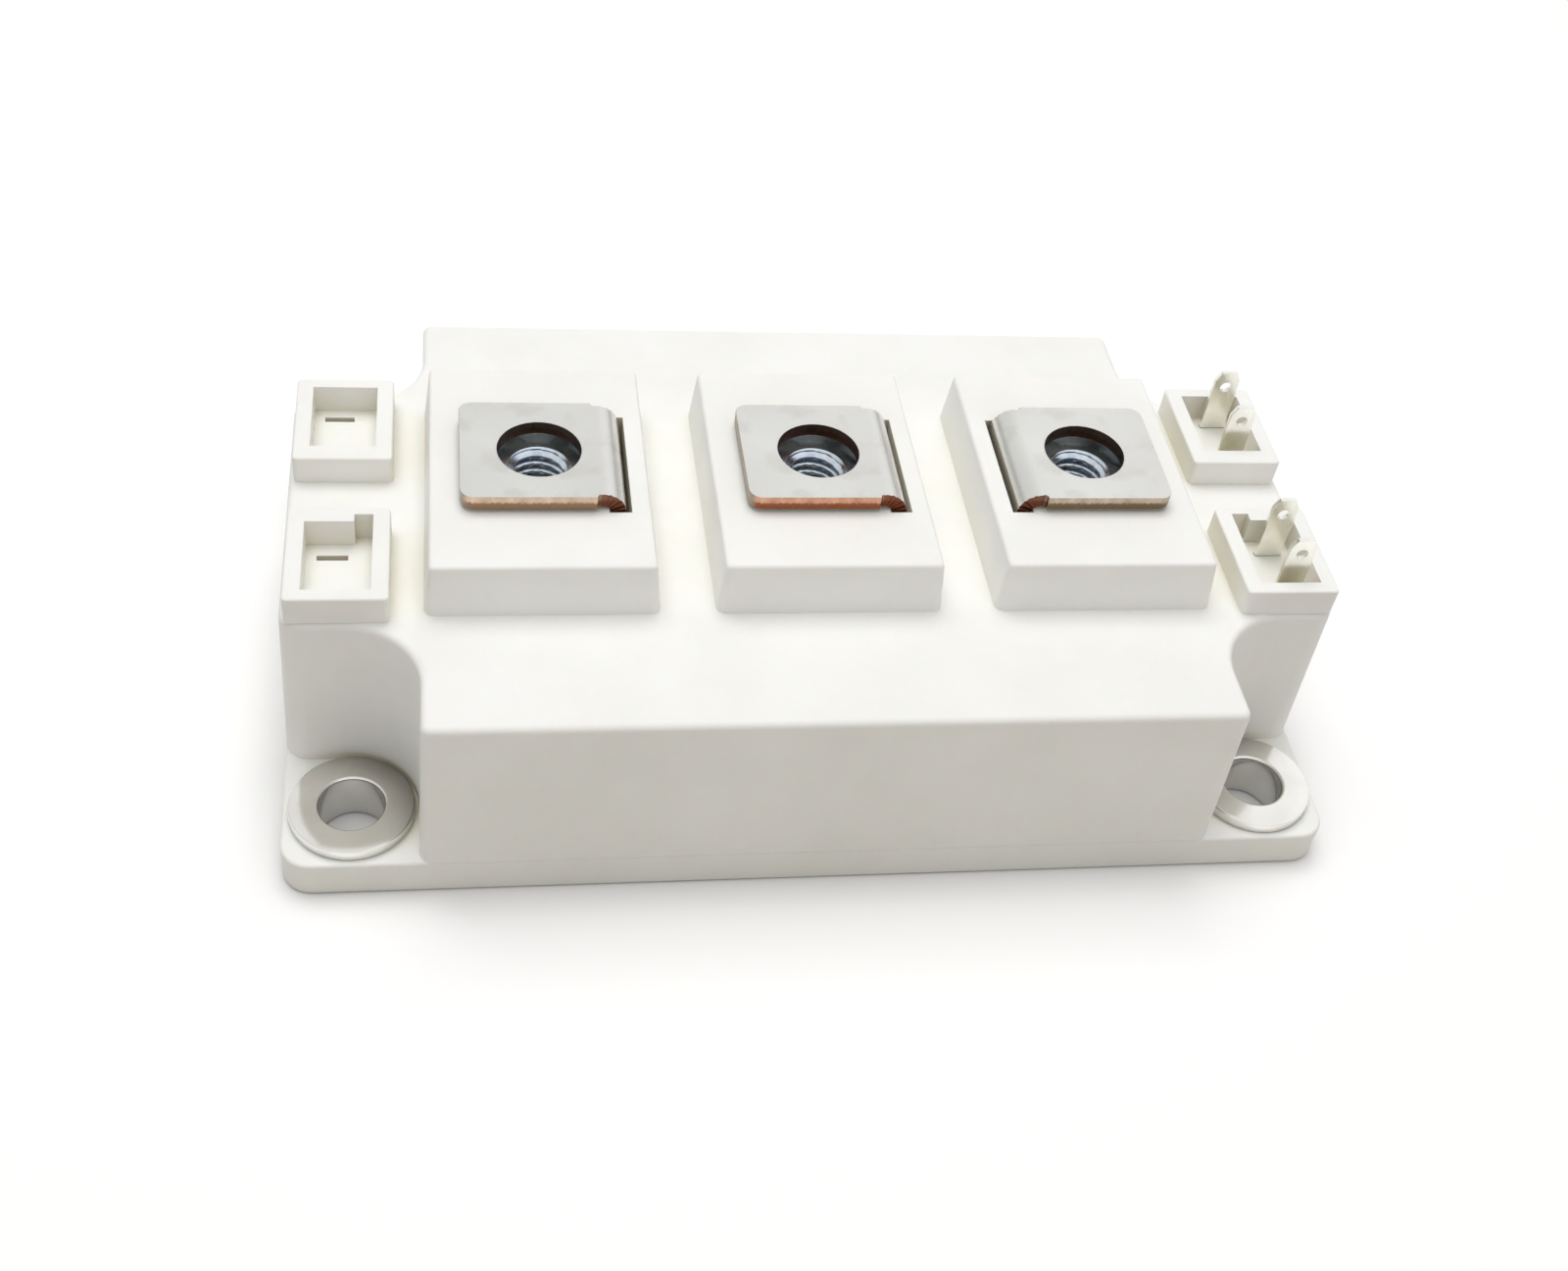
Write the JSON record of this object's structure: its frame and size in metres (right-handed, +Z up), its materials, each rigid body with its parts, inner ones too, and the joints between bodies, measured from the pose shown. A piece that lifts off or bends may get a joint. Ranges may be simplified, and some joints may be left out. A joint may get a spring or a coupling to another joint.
{
  "type": "power transistor module",
  "caption": "Half-bridge power transistor module: white moulded housing with corner screw pockets, folded screw terminals over captive nuts, and signal tabs in low sockets.",
  "frame": {"origin": "centre of the baseplate's underside, which lies on the heat sink", "axes": "+X along the long side towards the signal tabs, +Y towards the rear long side, +Z up out of the heat sink"},
  "size_m": [0.1064, 0.0614, 0.0305],
  "materials": {
    "housing_plastic": "satin",
    "baseplate_metal": "satin",
    "collar_metal": "satin",
    "terminal_metal": "satin",
    "nut_metal": "satin",
    "tab_metal": "satin",
    "bead_silicone": "matte",
    "bare_copper": "satin",
    "substrate_ceramic": "matte",
    "chip_silicon": "gloss",
    "wire_aluminium": "satin",
    "wire_insulation": "satin",
    "soft_gel": "gloss"
  },
  "bodies": {
    "root": {"housing": "housing_plastic", "baseplate": "baseplate_metal", "sealing_bead": "bead_silicone", "collar_front_left": "collar_metal", "collar_front_right": "collar_metal", "collar_rear_left": "collar_metal", "collar_rear_right": "collar_metal", "terminal_left": "terminal_metal", "terminal_middle": "terminal_metal", "terminal_right": "terminal_metal", "nut_left": "nut_metal", "nut_middle": "nut_metal", "nut_right": "nut_metal", "signal_tab_1": "tab_metal", "signal_tab_2": "tab_metal", "signal_tab_3": "tab_metal", "signal_tab_4": "tab_metal", "back_copper_left": "bare_copper", "ceramic_left": "substrate_ceramic", "circuit_copper_left": "bare_copper", "transistor_chips_left": "chip_silicon", "diode_chips_left": "chip_silicon", "bond_wires_left": "wire_aluminium", "back_copper_right": "bare_copper", "ceramic_right": "substrate_ceramic", "circuit_copper_right": "bare_copper", "transistor_chips_right": "chip_silicon", "diode_chips_right": "chip_silicon", "bond_wires_right": "wire_aluminium", "link_bridges": "bare_copper", "signal_wire_1": "wire_insulation", "signal_wire_2": "wire_insulation", "signal_wire_3": "wire_insulation", "signal_wire_4": "wire_insulation", "gel_fill": "soft_gel"}
  },
  "joints": []
}
